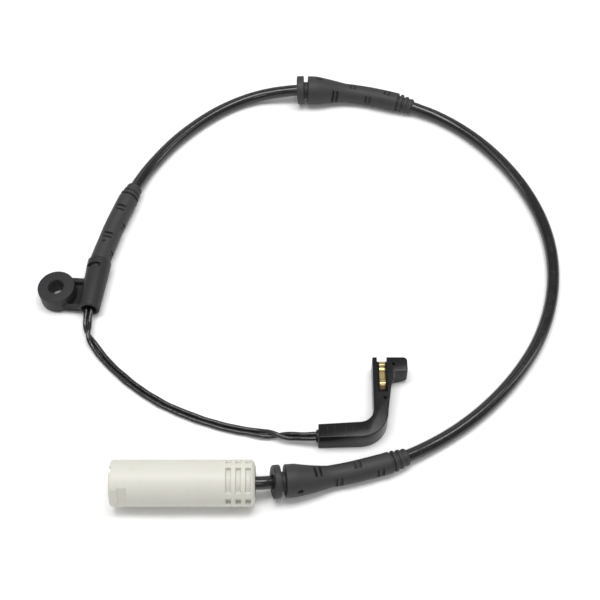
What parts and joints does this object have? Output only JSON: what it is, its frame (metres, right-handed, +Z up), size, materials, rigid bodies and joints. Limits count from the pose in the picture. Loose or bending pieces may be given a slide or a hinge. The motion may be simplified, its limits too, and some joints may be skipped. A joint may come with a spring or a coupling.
{
  "type": "brake pad wear sensor",
  "caption": "Brake pad wear sensor: round plug, jacketed cable with flanged grommets, eyelet holder, and an L-shaped head with a spring clip on bare cores.",
  "frame": {"origin": "on the floor, under the centre of the box round the pieces that are not cord", "axes": "+Z up from the floor the harness lies on; +X along the plug towards its cable; +Y away from the plug across the loop"},
  "size_m": [0.2029, 0.1989, 0.0165],
  "materials": {
    "white_plastic": "matte",
    "black_plastic": "satin",
    "black_rubber": "matte",
    "cable_jacket": "gloss",
    "core_sleeving": "gloss",
    "seal_rubber": "matte",
    "brass": "polished",
    "tinned_brass": "satin"
  },
  "bodies": {
    "root": {"plug_housing": "white_plastic", "contact_carrier": "white_plastic", "contact_1": "tinned_brass", "contact_2": "tinned_brass", "cable_seal": "seal_rubber", "plug_core_1": "core_sleeving", "plug_core_2": "core_sleeving", "jacketed_cable": "cable_jacket", "grommet_lower": "black_rubber", "grommet_upper": "black_rubber", "cable_boot": "black_rubber", "eyelet_holder": "black_plastic", "lead_core_1": "core_sleeving", "lead_core_2": "core_sleeving", "sensor_head": "black_plastic", "wear_loop": "brass", "spring_clip": "brass"}
  },
  "joints": []
}
